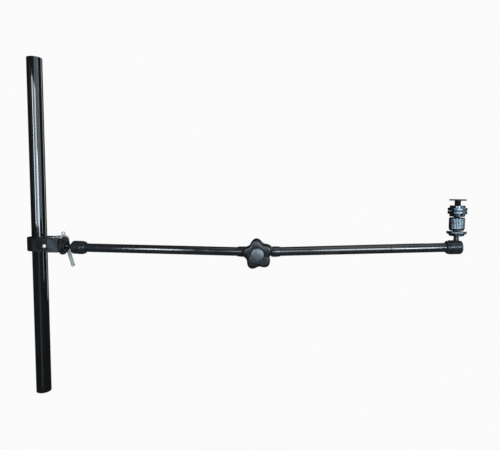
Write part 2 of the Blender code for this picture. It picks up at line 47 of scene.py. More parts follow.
# ------------------------------------------------------------------ layout, as in the CAD model
POLE_LENGTH = 375.5
POLE_R = 8.0
PLUG_LENGTH = 8.0
ARM_Y = -8.0
ELBOW = Vector((248.7, ARM_Y, 168.4))
ARM_LENGTH = 200.0
LEFT_SLOPE = radians(-0.21)
RIGHT_SLOPE = radians(2.72)
STUD_LEAN = radians(6.0)
CLAMP_Z = 171.6
LEFT_DIR = Vector((cos(LEFT_SLOPE), 0.0, sin(LEFT_SLOPE)))
RIGHT_DIR = Vector((-cos(RIGHT_SLOPE), 0.0, -sin(RIGHT_SLOPE)))
LEFT_BALL = ELBOW - LEFT_DIR * ARM_LENGTH
RIGHT_BALL = ELBOW - RIGHT_DIR * ARM_LENGTH
BACK = (0, 1, 0)
BALL_R = 5.3
SOCKET_SPACE = 5.6              # radius of the room round a ball
NECK_R = 2.5
THREAD_R = 3.1
THREAD_PITCH = 1.27             # quarter inch thread, 20 turns to the inch
STUD_BORE = 3.4                 # bore of the pieces that ride on a stud
TUBE_R = 4.7
SEAM = 64.6                     # where the two lengths of a tube meet, from the ball
BOLT_R = 3.1
SCREW_Y = 4.5
SCREW_Z = 4.6
SCREW_START = 13.3
SCREW_R = 3.0
PIN_X = 12.5
PIN_Z = -1.5
PIN_R = 2.2
BAR_X = 27.8
BAR_LEAN = radians(27.0)
LEFT_WHEEL_R = 10.0
LEFT_WHEEL_LOW = 12.3           # where a wheel starts, from the ball
RIGHT_WHEEL_R = 9.3
RIGHT_WHEEL_LOW = 11.4
PLATE_TURN = radians(-20.6)
COUPLER_R = 7.4
DISC_R = 9.0
KNOB_VALLEY_R = 12.4
KNOB_LOBE = 3.6                 # how far a lobe stands out past a valley
KNOB_FRONT = 21.6
KNOB_BACK = 9.5
KNOB_TURN = radians(98.0)       # direction of one lobe


def axis_frame(origin, z_axis, y_axis):
    """Matrix from a piece's own millimetres to the row frame's metres."""
    z = Vector(z_axis).normalized()
    y = Vector(y_axis).normalized()
    x = y.cross(z)
    turn = Matrix((x, y, z)).transposed().to_4x4()
    return Matrix.Translation(Vector(origin) * MM) @ turn @ Matrix.Scale(MM, 4)


WORLD = axis_frame((0, 0, 0), (0, 0, 1), BACK)
CLAMP = axis_frame((0, 0, CLAMP_Z), (0, 0, 1), BACK)
PIN_AXIS = axis_frame((PIN_X, 0, CLAMP_Z + PIN_Z), (0, -1, 0), (0, 0, 1))
SCREW_AXIS = axis_frame((SCREW_START, SCREW_Y, CLAMP_Z + SCREW_Z), (1, 0, 0), BACK)
BAR_AXIS = axis_frame((BAR_X, SCREW_Y, CLAMP_Z + SCREW_Z), (0, -sin(BAR_LEAN), cos(BAR_LEAN)),
                      (0, cos(BAR_LEAN), sin(BAR_LEAN)))
LEFT_STUD = axis_frame(LEFT_BALL, (-cos(STUD_LEAN), 0, sin(STUD_LEAN)), BACK)
LEFT_ARM = axis_frame(LEFT_BALL, LEFT_DIR, BACK)
ELBOW_AXIS = axis_frame(ELBOW, (0, -1, 0), (0, 0, 1))
RIGHT_ARM = axis_frame(RIGHT_BALL, RIGHT_DIR, BACK)
HEAD = axis_frame(RIGHT_BALL, (0, 0, 1), BACK)


# ------------------------------------------------------------------ materials

WAVE_SCALE = 0.314              # scale of a wave texture whose bands are one metre apart


class Nodes:
    """Short way to build one material's node tree."""

    def __init__(self, name):
        self.mat = bpy.data.materials.new(name)
        self.mat.use_nodes = True
        self.tree = self.mat.node_tree
        self.shader = self.tree.nodes["Principled BSDF"]
        self.coord = self.tree.nodes.new("ShaderNodeTexCoord").outputs["Object"]

    def link(self, a, b):
        self.tree.links.new(a, b)

    def math(self, operation, a, b):
        node = self.tree.nodes.new("ShaderNodeMath")
        node.operation = operation
        for socket, value in zip(node.inputs, (a, b)):
            if isinstance(value, (int, float)):
                socket.default_value = value
            else:
                self.link(value, socket)
        return node.outputs[0]

    def ramp(self, source, low, high, bottom=0.0, top=1.0):
        node = self.tree.nodes.new("ShaderNodeMapRange")
        node.inputs["From Min"].default_value = low
        node.inputs["From Max"].default_value = high
        node.inputs["To Min"].default_value = bottom
        node.inputs["To Max"].default_value = top
        self.link(source, node.inputs["Value"])
        return node.outputs["Result"]

    def mapped(self, scale):
        node = self.tree.nodes.new("ShaderNodeMapping")
        node.inputs["Scale"].default_value = scale
        self.link(self.coord, node.inputs["Vector"])
        return node.outputs["Vector"]

    def noise(self, scale, detail=3.0, stretch=None):
        node = self.tree.nodes.new("ShaderNodeTexNoise")
        node.inputs["Scale"].default_value = scale
        node.inputs["Detail"].default_value = detail
        self.link(self.mapped(stretch) if stretch else self.coord, node.inputs["Vector"])
        return node.outputs["Fac"]

    def bands(self, direction, period, distortion):
        """Fine turned marks, one about every period metres."""
        node = self.tree.nodes.new("ShaderNodeTexWave")
        node.wave_type = "BANDS"
        node.bands_direction = direction
        node.inputs["Scale"].default_value = WAVE_SCALE / period
        node.inputs["Distortion"].default_value = distortion
        node.inputs["Detail"].default_value = 2.0
        node.inputs["Detail Scale"].default_value = 0.6
        self.link(self.coord, node.inputs["Vector"])
        return node.outputs["Fac"]

    def specks(self, scale, size):
        """Small scattered spots, 1 inside a spot."""
        node = self.tree.nodes.new("ShaderNodeTexVoronoi")
        node.inputs["Scale"].default_value = scale
        self.link(self.coord, node.inputs["Vector"])
        return self.ramp(node.outputs["Distance"], size, size * 0.4)

    def mix(self, factor, a, b):
        node = self.tree.nodes.new("ShaderNodeMix")
        node.data_type = "RGBA"
        self.link(factor, node.inputs["Factor"])
        for key, value in (("A", a), ("B", b)):
            socket = [s for s in node.inputs if s.name == key and s.type == "RGBA"][0]
            if isinstance(value, tuple):
                socket.default_value = (*value, 1.0)
            else:
                self.link(value, socket)
        return [s for s in node.outputs if s.type == "RGBA"][0]

    def edges(self, low=0.54, high=0.64):
        """1 on convex edges."""
        geometry = self.tree.nodes.new("ShaderNodeNewGeometry")
        return self.ramp(geometry.outputs["Pointiness"], low, high)

    def bump(self, height, strength, distance, normal=None):
        node = self.tree.nodes.new("ShaderNodeBump")
        node.inputs["Strength"].default_value = strength
        node.inputs["Distance"].default_value = distance
        self.link(height, node.inputs["Height"])
        if normal is not None:
            self.link(normal, node.inputs["Normal"])
        return node.outputs["Normal"]

    def set(self, **values):
        for key, value in values.items():
            socket = self.shader.inputs[key.replace("_", " ")]
            if isinstance(value, tuple):
                socket.default_value = (*value, 1.0)
            elif isinstance(value, (int, float)):
                socket.default_value = value
            else:
                self.link(value, socket)
        return self.mat


def scaled(color, factor):
    return tuple(min(1.0, c * factor) for c in color)


def gloss_black_paint():
    """Black lacquer with a slight peel, fine scratches and a little dust."""
    n = Nodes("gloss_black_paint")
    cloud = n.noise(35.0, 4.0)
    color = n.mix(n.ramp(cloud, 0.3, 0.7), (0.0050, 0.0053, 0.0056), (0.0090, 0.0095, 0.0100))
    dust = n.math("MULTIPLY", n.specks(420.0, 0.10), n.ramp(n.noise(90.0), 0.5, 0.62))
    color = n.mix(n.math("MULTIPLY", dust, 0.08), color, (0.20, 0.20, 0.19))
    scratch = n.noise(60.0, 6.0, (14.0, 14.0, 0.7))
    rough = n.math("ADD", n.ramp(scratch, 0.55, 0.75, 0.0, 0.06), 0.07)
    rough = n.math("ADD", rough, n.math("MULTIPLY", dust, 0.1))
    peel = n.noise(160.0, 2.0, (1.0, 1.0, 0.35))
    return n.set(Base_Color=color, Roughness=rough, Metallic=0.0, Coat_Weight=1.0, Coat_Roughness=0.04,
                 Normal=n.bump(peel, 0.03, 0.00002))


def cast_black(name, base, rough, worn):
    """Fine powder coat over a cast body; worn is how far its edges are rubbed brighter."""
    n = Nodes(name)
    cloud = n.ramp(n.noise(120.0, 4.0), 0.3, 0.7)
    color = n.mix(cloud, scaled(base, 0.8), scaled(base, 1.35))
    color = n.mix(n.math("MULTIPLY", n.edges(), worn), color, (0.16, 0.165, 0.17))
    grain = n.noise(2600.0, 2.0)
    roughness = n.math("ADD", n.ramp(n.noise(300.0), 0.3, 0.7, -0.07, 0.07), rough)
    normal = n.bump(grain, 0.55, 0.00009)
    normal = n.bump(n.noise(420.0, 2.0), 0.35, 0.00012, normal)
    return n.set(Base_Color=color, Roughness=roughness, Metallic=0.0, Specular_IOR_Level=0.25, Normal=normal)


def anodised(name, base, direction, rough=0.34, period=0.00034, metallic=0.55, glint=1.0):
    """Anodised metal with turned marks about direction and lightly rubbed edges."""
    n = Nodes(name)
    cloud = n.ramp(n.noise(160.0, 4.0), 0.3, 0.7)
    color = n.mix(cloud, scaled(base, 0.82), scaled(base, 1.3))
    color = n.mix(n.math("MULTIPLY", n.edges(0.56, 0.68), 0.35), color, (0.24, 0.245, 0.25))
    marks = n.bands(direction, period, 0.5)
    fine = n.noise(3000.0, 2.0)
    height = n.math("ADD", n.math("MULTIPLY", marks, 0.7), n.math("MULTIPLY", fine, 0.3))
    roughness = n.math("ADD", n.ramp(n.noise(240.0), 0.3, 0.7, -0.06, 0.08), rough)
    return n.set(Base_Color=color, Roughness=roughness, Metallic=metallic, Specular_IOR_Level=glint,
                 Normal=n.bump(height, 0.04, 0.00001))


def drawn_tube(name, base):
    """Anodised tube with faint marks along its length."""
    n = Nodes(name)
    lengthwise = n.noise(40.0, 5.0, (0.25, 34.0, 34.0))
    color = n.mix(n.ramp(lengthwise, 0.3, 0.7), scaled(base, 0.8), scaled(base, 1.4))
    rub = n.ramp(n.noise(26.0, 5.0), 0.58, 0.78)
    color = n.mix(n.math("MULTIPLY", rub, 0.35), color, (0.09, 0.095, 0.10))
    roughness = n.math("ADD", n.ramp(n.noise(90.0, 4.0), 0.3, 0.7, -0.03, 0.05), 0.13)
    height = n.math("ADD", lengthwise, n.math("MULTIPLY", n.noise(2400.0, 2.0), 0.6))
    return n.set(Base_Color=color, Roughness=roughness, Metallic=0.0, Specular_IOR_Level=1.0,
                 Normal=n.bump(height, 0.03, 0.00001))


def slate_lit_side_metal():
    """Satin slate grey with brushed marks along X; the grey, lighter than the hook's black, is painted light
    for the clamp's lit right side.
    """
    n = Nodes("slate_grey_painted_lit_side")
    # painted light: a lighter, bluish grey than the hook's black, standing in for light falling on the
    # clamp's right side
    base = (0.014, 0.019, 0.023)
    brushed = n.noise(60.0, 5.0, (0.6, 26.0, 26.0))
    color = n.mix(n.ramp(brushed, 0.3, 0.7), scaled(base, 0.86), scaled(base, 1.16))
    color = n.mix(n.math("MULTIPLY", n.edges(), 0.25), color, (0.30, 0.33, 0.36))
    roughness = n.math("ADD", n.ramp(brushed, 0.3, 0.7, -0.05, 0.08), 0.32)
    return n.set(Base_Color=color, Roughness=roughness, Metallic=0.15, Specular_IOR_Level=0.35,
                 Normal=n.bump(brushed, 0.20, 0.00002))


def bright_metal(name, base, rough, direction, metallic=1.0):
    """Plated or turned metal with faint smudges."""
    n = Nodes(name)
    cloud = n.ramp(n.noise(200.0, 4.0), 0.35, 0.7)
    color = n.mix(cloud, base, scaled(base, 0.86))
    roughness = n.math("ADD", n.ramp(n.noise(130.0, 5.0), 0.4, 0.7, 0.0, 0.10), rough)
    marks = n.bands(direction, 0.0003, 0.6)
    height = n.math("ADD", marks, n.math("MULTIPLY", n.noise(1800.0), 0.5))
    return n.set(Base_Color=color, Roughness=roughness, Metallic=metallic,
                 Normal=n.bump(height, 0.08, 0.00001))


def moulded_plastic(name, base, rough):
    """Fine spark texture with lighter edges and a little dust."""
    n = Nodes(name)
    cloud = n.ramp(n.noise(140.0, 4.0), 0.3, 0.7)
    color = n.mix(cloud, scaled(base, 0.85), scaled(base, 1.25))
    color = n.mix(n.math("MULTIPLY", n.edges(0.53, 0.62), 0.35), color, (0.075, 0.078, 0.08))
    dust = n.math("MULTIPLY", n.specks(900.0, 0.16), n.ramp(n.noise(160.0), 0.52, 0.66))
    color = n.mix(n.math("MULTIPLY", dust, 0.4), color, (0.22, 0.22, 0.21))
    roughness = n.math("ADD", n.ramp(n.noise(110.0, 4.0), 0.35, 0.7, -0.10, 0.06), rough)
    normal = n.bump(n.noise(4200.0, 2.0), 0.20, 0.00002)
    return n.set(Base_Color=color, Roughness=roughness, Metallic=0.0, Specular_IOR_Level=0.5, Normal=normal)


def cap_metal():
    """Blue-grey disc with a fine, even grain."""
    n = Nodes("knob_cap_grey")
    base = (0.105, 0.118, 0.135)
    cloud = n.ramp(n.noise(300.0, 4.0), 0.3, 0.7)
    color = n.mix(cloud, scaled(base, 0.85), scaled(base, 1.2))
    color = n.mix(n.math("MULTIPLY", n.edges(), 0.6), color, (0.35, 0.36, 0.37))
    roughness = n.math("ADD", n.ramp(n.noise(500.0), 0.3, 0.7, -0.05, 0.07), 0.36)
    return n.set(Base_Color=color, Roughness=roughness, Metallic=0.5,
                 Normal=n.bump(n.noise(2600.0), 0.35, 0.00004))


BLACK = (0.020, 0.0208, 0.0218)
MAT = {
    "pole": gloss_black_paint(),
    "plug": moulded_plastic("plug_plastic", (0.02, 0.02, 0.02), 0.6),
    "liner": moulded_plastic("sleeve_plastic", (0.03, 0.03, 0.03), 0.55),
    # black powder coat, its base darkened below the other blacks as painted shade for the clamp's facet
    # turned from the light
    "hook": cast_black("hook_black_coat_painted_shade", (0.0060, 0.0065, 0.0060), 0.60, 0.15),
    # the bridge's grey is painted light for the clamp's lit right side
    "bridge": slate_lit_side_metal(),
    "chrome_x": bright_metal("chrome_along_x", (0.95, 0.94, 0.92), 0.25, "X", metallic=0.2),
    "chrome_y": bright_metal("chrome_along_y", (0.96, 0.96, 0.95), 0.28, "Y", metallic=0.45),
    "steel_x": bright_metal("turned_steel_x", (0.52, 0.51, 0.50), 0.24, "X"),
    "steel_y": bright_metal("turned_steel_y", (0.52, 0.51, 0.50), 0.26, "Y"),
    "black_steel_x": anodised("black_oxide_x", (0.035, 0.035, 0.036), "X", 0.30, 0.0003, 0.8),
    "black_steel_z": anodised("black_oxide_z", (0.035, 0.035, 0.036), "Z", 0.30, 0.0003, 0.8),
    "turned_x": anodised("anodised_turned_x", (0.040, 0.049, 0.053), "X", 0.15, metallic=0.5),
    "turned_y": anodised("anodised_turned_y", BLACK, "Y"),
    "turned_z": anodised("anodised_turned_z", (0.110, 0.137, 0.155), "Z", 0.22, metallic=0.95),
    "wheel": anodised("anodised_wheel", (0.016, 0.017, 0.017), "X", 0.45, metallic=0.0, glint=0.3),
    "coupler": anodised("anodised_coupler", (0.135, 0.170, 0.190), "Z", 0.22, metallic=0.95),
    "tube": drawn_tube("anodised_tube", (0.018, 0.0188, 0.0198)),
    "foot": cast_black("foot_black", (0.010, 0.0102, 0.0106), 0.5, 0.05),
    "knob": moulded_plastic("knob_plastic", (0.0110, 0.0118, 0.0130), 0.24),
    "cap": cap_metal(),
    "brass": bright_metal("insert_brass", (0.62, 0.46, 0.20), 0.22, "Y"),
    "nylon": moulded_plastic("seat_nylon", (0.72, 0.71, 0.66), 0.5),
}


# ------------------------------------------------------------------ mesh tools

MERGE_DISTANCE = 0.0000002      # metres
NEARLY_STRAIGHT = -0.97         # cosine of a corner that is left as it is
ARC_STEPS = 3                   # steps in a rounded corner or edge


def settle(mesh):
    """Joins points that fall on each other and turns all faces outward."""
    bm = bmesh.new()
    bm.from_mesh(mesh)
    bmesh.ops.remove_doubles(bm, verts=bm.verts, dist=MERGE_DISTANCE)
    bmesh.ops.dissolve_degenerate(bm, edges=bm.edges, dist=MERGE_DISTANCE)
    bmesh.ops.recalc_face_normals(bm, faces=bm.faces)
    bm.to_mesh(mesh)
    bm.free()


def show(name, mesh, mat, body, nodes=(), angle=38.0):
    """Puts a finished mesh in the scene, riding on its CAD body."""
    mesh.materials.clear()
    mesh.materials.append(MAT[mat])
    mesh.shade_smooth()
    mesh.set_sharp_from_angle(angle=radians(angle))
    obj = bpy.data.objects.new(name, mesh)
    bpy.context.scene.collection.objects.link(obj)
    weighted = obj.modifiers.new("normals", "WEIGHTED_NORMAL")
    weighted.keep_sharp = True
    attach(obj, body)
    if nodes:
        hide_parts(*nodes)


def rounded(profile, radius, closed=False):
    """The same profile with its corners turned into small arcs."""
    points = [Vector(p) for p in profile]
    total = len(points)
    result = []
    for i, point in enumerate(points):
        if not closed and i in (0, total - 1):
            result.append(tuple(point))
            continue
        before = points[i - 1] - point
        after = points[(i + 1) % total] - point
        if before.length < 1e-6 or after.length < 1e-6:
            result.append(tuple(point))
            continue
        if before.normalized().dot(after.normalized()) < NEARLY_STRAIGHT:
            result.append(tuple(point))
            continue
        cut = min(radius, before.length * 0.45, after.length * 0.45)
        start = point + before.normalized() * cut
        end = point + after.normalized() * cut
        for k in range(ARC_STEPS + 1):
            t = k / ARC_STEPS
            result.append(tuple(start * (1 - t) ** 2 + point * 2 * t * (1 - t) + end * t ** 2))
    return result


def dense(profile, step, low, high, closed=False):
    """Adds points to the stretches between two heights, at most step apart."""
    result = []
    total = len(profile)
    for i in range(total if closed else total - 1):
        a = profile[i]
        b = profile[(i + 1) % total]
        result.append(a)
        inside = low - 0.01 <= min(a[1], b[1]) and max(a[1], b[1]) <= high + 0.01
        if inside:
            parts = ceil(hypot(b[0] - a[0], b[1] - a[1]) / step)
            for k in range(1, parts):
                t = k / parts
                result.append((a[0] + (b[0] - a[0]) * t, a[1] + (b[1] - a[1]) * t))
    if not closed:
        result.append(profile[-1])
    return result


def turned_mesh(name, rows, axis, steps, closed=False, shape=None):
    """Surface of revolution; shape(r, z, angle) may give a row its own radius round the turn."""
    verts = []
    for r, z in rows:
        for j in range(steps):
            angle = 2 * pi * j / steps
            radius = shape(r, z, angle) if shape else r
            verts.append(axis @ Vector((radius * cos(angle), radius * sin(angle), z)))
    faces = []
    total = len(rows)
    for i in range(total if closed else total - 1):
        k = (i + 1) % total
        for j in range(steps):
            m = (j + 1) % steps
            faces.append((i * steps + j, i * steps + m, k * steps + m, k * steps + j))
    mesh = bpy.data.meshes.new(name)
    mesh.from_pydata([tuple(v) for v in verts], [], faces)
    settle(mesh)
    return mesh


def turned(name, profile, axis, body, mat, nodes, steps, closed=False, shape=None, radius=0.2,
           fine=None):
    """Turned piece; radius rounds its corners, fine is (step, low, high) of a dense stretch."""
    rows = rounded(profile, radius, closed)
    if fine:
        rows = dense(rows, *fine, closed)
    show(name, turned_mesh(name, rows, axis, steps, closed, shape), mat, body, nodes)


def block_mesh(name, low, high, axis, bevel):
    """Box between two corners with all its edges rounded."""
    bm = bmesh.new()
    bmesh.ops.create_cube(bm, size=1.0)
    size = Vector(high) - Vector(low)
    bmesh.ops.scale(bm, vec=size, verts=bm.verts)
    bmesh.ops.translate(bm, vec=(Vector(low) + Vector(high)) / 2, verts=bm.verts)
    if bevel:
        bmesh.ops.bevel(bm, geom=bm.edges, offset=bevel, segments=ARC_STEPS, profile=0.5, affect="EDGES")
    bm.transform(axis)
    mesh = bpy.data.meshes.new(name)
    bm.to_mesh(mesh)
    bm.free()
    return mesh


def outline_mesh(name, points, low, high, axis, bevel):
    """Flat outline raised from low to high with all its edges rounded."""
    bm = bmesh.new()
    bottom = bm.faces.new([bm.verts.new((x, y, low)) for x, y in points])
    raised = bmesh.ops.extrude_face_region(bm, geom=[bottom])
    verts = [g for g in raised["geom"] if isinstance(g, bmesh.types.BMVert)]
    bmesh.ops.translate(bm, vec=(0, 0, high - low), verts=verts)
    bmesh.ops.recalc_face_normals(bm, faces=bm.faces)
    if bevel:
        rim = [e for e in bm.edges if e.calc_face_angle(0.0) > radians(40)]
        bmesh.ops.bevel(bm, geom=rim, offset=bevel, segments=ARC_STEPS, profile=0.5, affect="EDGES")
    bm.transform(axis)
    mesh = bpy.data.meshes.new(name)
    bm.to_mesh(mesh)
    bm.free()
    return mesh


def carved(mesh, *steps):
    """Booleans done one after the other; steps are (operation, mesh)."""
    obj = bpy.data.objects.new("carve", mesh)
    bpy.context.scene.collection.objects.link(obj)
    tools = []
    for operation, tool_mesh in steps:
        tool = bpy.data.objects.new("tool", tool_mesh)
        bpy.context.scene.collection.objects.link(tool)
        mod = obj.modifiers.new("step", "BOOLEAN")
        mod.operation = operation
        mod.solver = "EXACT"
        mod.object = tool
        tools.append(tool)
    bpy.context.view_layer.update()
    graph = bpy.context.evaluated_depsgraph_get()
    result = bpy.data.meshes.new_from_object(obj.evaluated_get(graph))
    result.name = mesh.name
    for item in [obj] + tools:
        bpy.data.objects.remove(item, do_unlink=True)
    return result


def rod_mesh(name, radius, low, high, axis, steps=64):
    return turned_mesh(name, [(0, high), (radius, high), (radius, low), (0, low)], axis, steps)


def arc(radius, start, end, count):
    """Points of an arc, as (x, y), angles in degrees."""
    angles = [radians(start + (end - start) * i / count) for i in range(count + 1)]
    return [(radius * cos(a), radius * sin(a)) for a in angles]


def thread(radius, pitch, depth, low, high):
    """Shape function that cuts a helical thread where the row lies on radius."""
    def shape(r, z, angle):
        if abs(r - radius) > 0.02 or not low <= z <= high:
            return r
        phase = (z / pitch - angle / (2 * pi)) % 1.0
        fade = min(1.0, (z - low) / pitch, (high - z) / pitch)
        return r - depth * fade * abs(2 * phase - 1)
    return shape


def ribs(radius, count, depth, low, high, margin=0.6, sharp=1.0):
    """Shape function that cuts straight ribs on the rim between two heights."""
    def shape(r, z, angle):
        if r < radius - margin or not low <= z <= high:
            return r
        wave = abs(sin(count * angle / 2)) ** sharp
        return r - depth * wave * min(1.0, (r - radius + margin) / (margin * 0.6))
    return shape


# ------------------------------------------------------------------ pole

def build_pole():
    high = POLE_LENGTH
    wall = POLE_R - 1.5
    turned("pole", [(wall, high), (POLE_R, high), (POLE_R, 0), (wall, 0)], WORLD, "upright", "pole",
           ["pole_tube"], 128, True, None, 0.35)
    for name, low in (("pole_bottom_plug", 0.0), ("pole_top_plug", high - PLUG_LENGTH)):
        profile = [(0, low + PLUG_LENGTH), (6.2, low + PLUG_LENGTH), (6.2, low), (0, low)]
        turned(name + "_moulded", profile, WORLD, "upright", "plug", [name], 64, radius=0.5)


# ------------------------------------------------------------------ clamp

def hook_outline():
    outer, inner, reach = 12.7, 9.2, 15.1
    return ([(reach, outer)] + arc(outer, 90, 270, 48) + [(reach, -outer), (reach, -inner)]
            + arc(inner, 270, 90, 48) + [(reach, inner)])


def pin_hole():
    return rod_mesh("hole", PIN_R + 0.2, -40, 40, PIN_AXIS)


def build_clamp():
    turned("clamp_sleeve_fine", [(8.9, 7.0), (8.9, -7.0), (8.2, -7.0), (8.2, 7.0)], CLAMP, "sleeve", "liner",
           ["clamp_sleeve"], 96, True, None, 0.15)
    hook = outline_mesh("hook", hook_outline(), -7.6, 7.6, CLAMP, 0.55)
    half = PIN_R + 0.7
    slot = arc(half, -90, 90, 16) + [(x - 5.0, y) for x, y in arc(half, 90, 270, 16)]
    recess = outline_mesh("recess", slot, 11.9, 16.0, PIN_AXIS, 0)
    hook = carved(hook, ("DIFFERENCE", pin_hole()), ("DIFFERENCE", recess))
    show("hook", hook, "hook", "clamp", ["clamp_hook"], 32)

    bridge = block_mesh("bridge", (15.9, -3.0, -8.2), (23.8, 13.0, 6.6), CLAMP, 0.45)
    front = block_mesh("front", (15.9, -13.0, -8.2), (28.0, -2.2, 6.6), CLAMP, 0.45)
    tongue = block_mesh("tongue", (5.0, -8.6, -7.5), (16.9, 8.6, 1.5), CLAMP, 0.3)
    pole_space = rod_mesh("space", 9.2, -30, 30, CLAMP, 96)
    screw_room = axis_frame((0, SCREW_Y, CLAMP_Z + SCREW_Z), (1, 0, 0), BACK)
    stud_hole = rod_mesh("stud_hole", STUD_BORE, 19.4, 26.4, LEFT_STUD)
    channel = block_mesh("channel", (14.9, SCREW_Y - 3.4, SCREW_Z - 3.4), (24.8, SCREW_Y + 3.4, 8.6),
                         CLAMP, 0)
    pocket = block_mesh("pocket", (17.2, SCREW_Y - 5.4, SCREW_Z - 5.4), (22.3, SCREW_Y + 5.4, 8.7),
                        CLAMP, 0)
    sweep = rod_mesh("sweep", 13.3, 25.0, 30.0, screw_room, 96)
    bridge = carved(bridge, ("UNION", front), ("UNION", tongue), ("DIFFERENCE", pole_space),
                    ("DIFFERENCE", pin_hole()), ("DIFFERENCE", stud_hole), ("DIFFERENCE", channel),
                    ("DIFFERENCE", pocket), ("DIFFERENCE", sweep))
    show("bridge", bridge, "bridge", "clamp", ["clamp_bridge"], 32)

    nut = block_mesh("nut", (17.5, SCREW_Y - 5.1, SCREW_Z - 5.1), (22.0, SCREW_Y + 5.1, SCREW_Z + 3.9),
                     CLAMP, 0.4)
    nut = carved(nut, ("DIFFERENCE", rod_mesh("bore", 3.25, 10, 30, screw_room)))
    show("nut", nut, "steel_x", "clamp", ["clamp_nut"], 32)

    jaw = block_mesh("jaw", (5.0, -8.6, 1.9), (13.0, 8.6, 7.4), CLAMP, 0.35)
    jaw = carved(jaw, ("DIFFERENCE", rod_mesh("saddle", 9.15, -30, 30, CLAMP, 96)),
                 ("DIFFERENCE", rod_mesh("nub", 2.1, 11.2, 15.4, screw_room, 32)))
    show("jaw", jaw, "steel_x", "jaw", ["clamp_jaw"], 32)

    pin = [(0, 13.0), (1.2, 12.95), (1.9, 12.75), (PIN_R, 12.35), (PIN_R, -12.2), (1.8, -12.6), (0, -12.6)]
    turned("pin", pin, PIN_AXIS, "clamp", "chrome_y", ["clamp_pin"], 64)


def build_clamp_screw():
    head, end = 10.9, 17.7
    rows = rounded([(0, end), (3.4, end), (4.2, end - 0.8), (4.2, head + 0.6), (3.7, head), (SCREW_R, head),
                    (SCREW_R, 0.4), (2.6, 0.0), (1.8, 0.0), (1.8, -1.7), (1.5, -2.0), (0, -2.0)], 0.25)
    rows = dense(rows, 0.12, 0.5, head)
    mesh = turned_mesh("clamp_screw", rows, SCREW_AXIS, 72, False, thread(SCREW_R, 1.0, 0.28, 0.6, 10.6))
    mesh = carved(mesh, ("DIFFERENCE", rod_mesh("hole", 2.4, -10, 10, BAR_AXIS, 48)))
    show("clamp_screw_fine", mesh, "chrome_x", "screw", ["clamp_screw"], 32)
    bar = [(0, 8.7), (1.2, 8.7), (1.2, 7.7), (2.1, 7.7), (2.1, -35.3), (1.2, -35.3), (1.2, -36.3), (0, -36.3)]
    turned("bar", bar, BAR_AXIS, "bar", "chrome_y", ["tommy_bar"], 64, radius=0.25)
    cap = [(0, 2.1), (0.7, 2.05), (1.2, 1.88), (1.7, 1.5), (2.1, 1.0), (2.28, 0.35), (2.15, 0.0), (1.5, 0.0),
           (1.5, 1.3), (0, 1.3)]
    turned("bar_cap_top", [(r, z + 7.95) for r, z in cap], BAR_AXIS, "bar", "chrome_y",
           ["tommy_bar_cap_top"], 64, radius=0.15)
    turned("bar_cap_bottom", [(r, -z - 35.55) for r, z in cap], BAR_AXIS, "bar", "chrome_y",
           ["tommy_bar_cap_bottom"], 64, radius=0.15)


# ------------------------------------------------------------------ ball joints

def stud_profile():
    low, high = 11.4, 24.9
    profile = rounded([(0, high + 0.6), (2.5, high + 0.6), (THREAD_R, high), (THREAD_R, low),
                       (NECK_R, low - 0.6), (NECK_R, 5.1)], 0.2)
    start = asin(NECK_R / BALL_R)
    for i in range(25):
        angle = start + (pi - start) * i / 24
        profile.append((BALL_R * sin(angle) if i < 24 else 0.0, BALL_R * cos(angle)))
    return dense(profile, 0.13, low, high)


def build_studs():
    cut = thread(THREAD_R, THREAD_PITCH, 0.55, 11.5, 25.0)
    for name, axis, body, mat in (("left_ball_stud", LEFT_STUD, "left_stud", "black_steel_x"),
                                  ("right_ball_stud", HEAD, "right_stud", "black_steel_z")):
        mesh = turned_mesh(name, stud_profile(), axis, 64, False, cut)
        show(name + "_fine", mesh, mat, body, [name])


def build_wheel(name, axis, body, mat, radius, low):
    """Lock wheel: fine ribs on its rim, a tier and a recess on the ball's side."""
    mid, high = low + 2.0, low + 5.0
    profile = [(STUD_BORE, high), (radius - 0.5, high), (radius, high - 0.5), (radius, mid + 0.5),
               (radius - 0.5, mid), (7.2, mid), (7.2, low + 0.6), (6.6, low), (5.2, low), (4.9, low + 1.4),
               (STUD_BORE, low + 1.4)]
    turned(name + "_fine", profile, axis, body, mat, [name], 320, True,
           ribs(radius, 64, 0.12, mid + 0.15, high - 0.15), 0.22, (0.35, mid, high))


def socket_profile():
    space = SOCKET_SPACE
    profile = [(space, 6.9), (7.0, 6.9), (7.3, 6.6), (7.3, 5.7), (7.1, 5.55), (7.1, 5.25), (7.3, 5.1),
               (7.3, -3.2), (7.15, -3.9), (6.75, -4.65), (6.2, -5.2), (5.8, -5.2)]
    low = asin(-3.0 / space)
    for i in range(9):
        angle = low - low * i / 8
        profile.append((space * cos(angle), space * sin(angle)))
    return profile


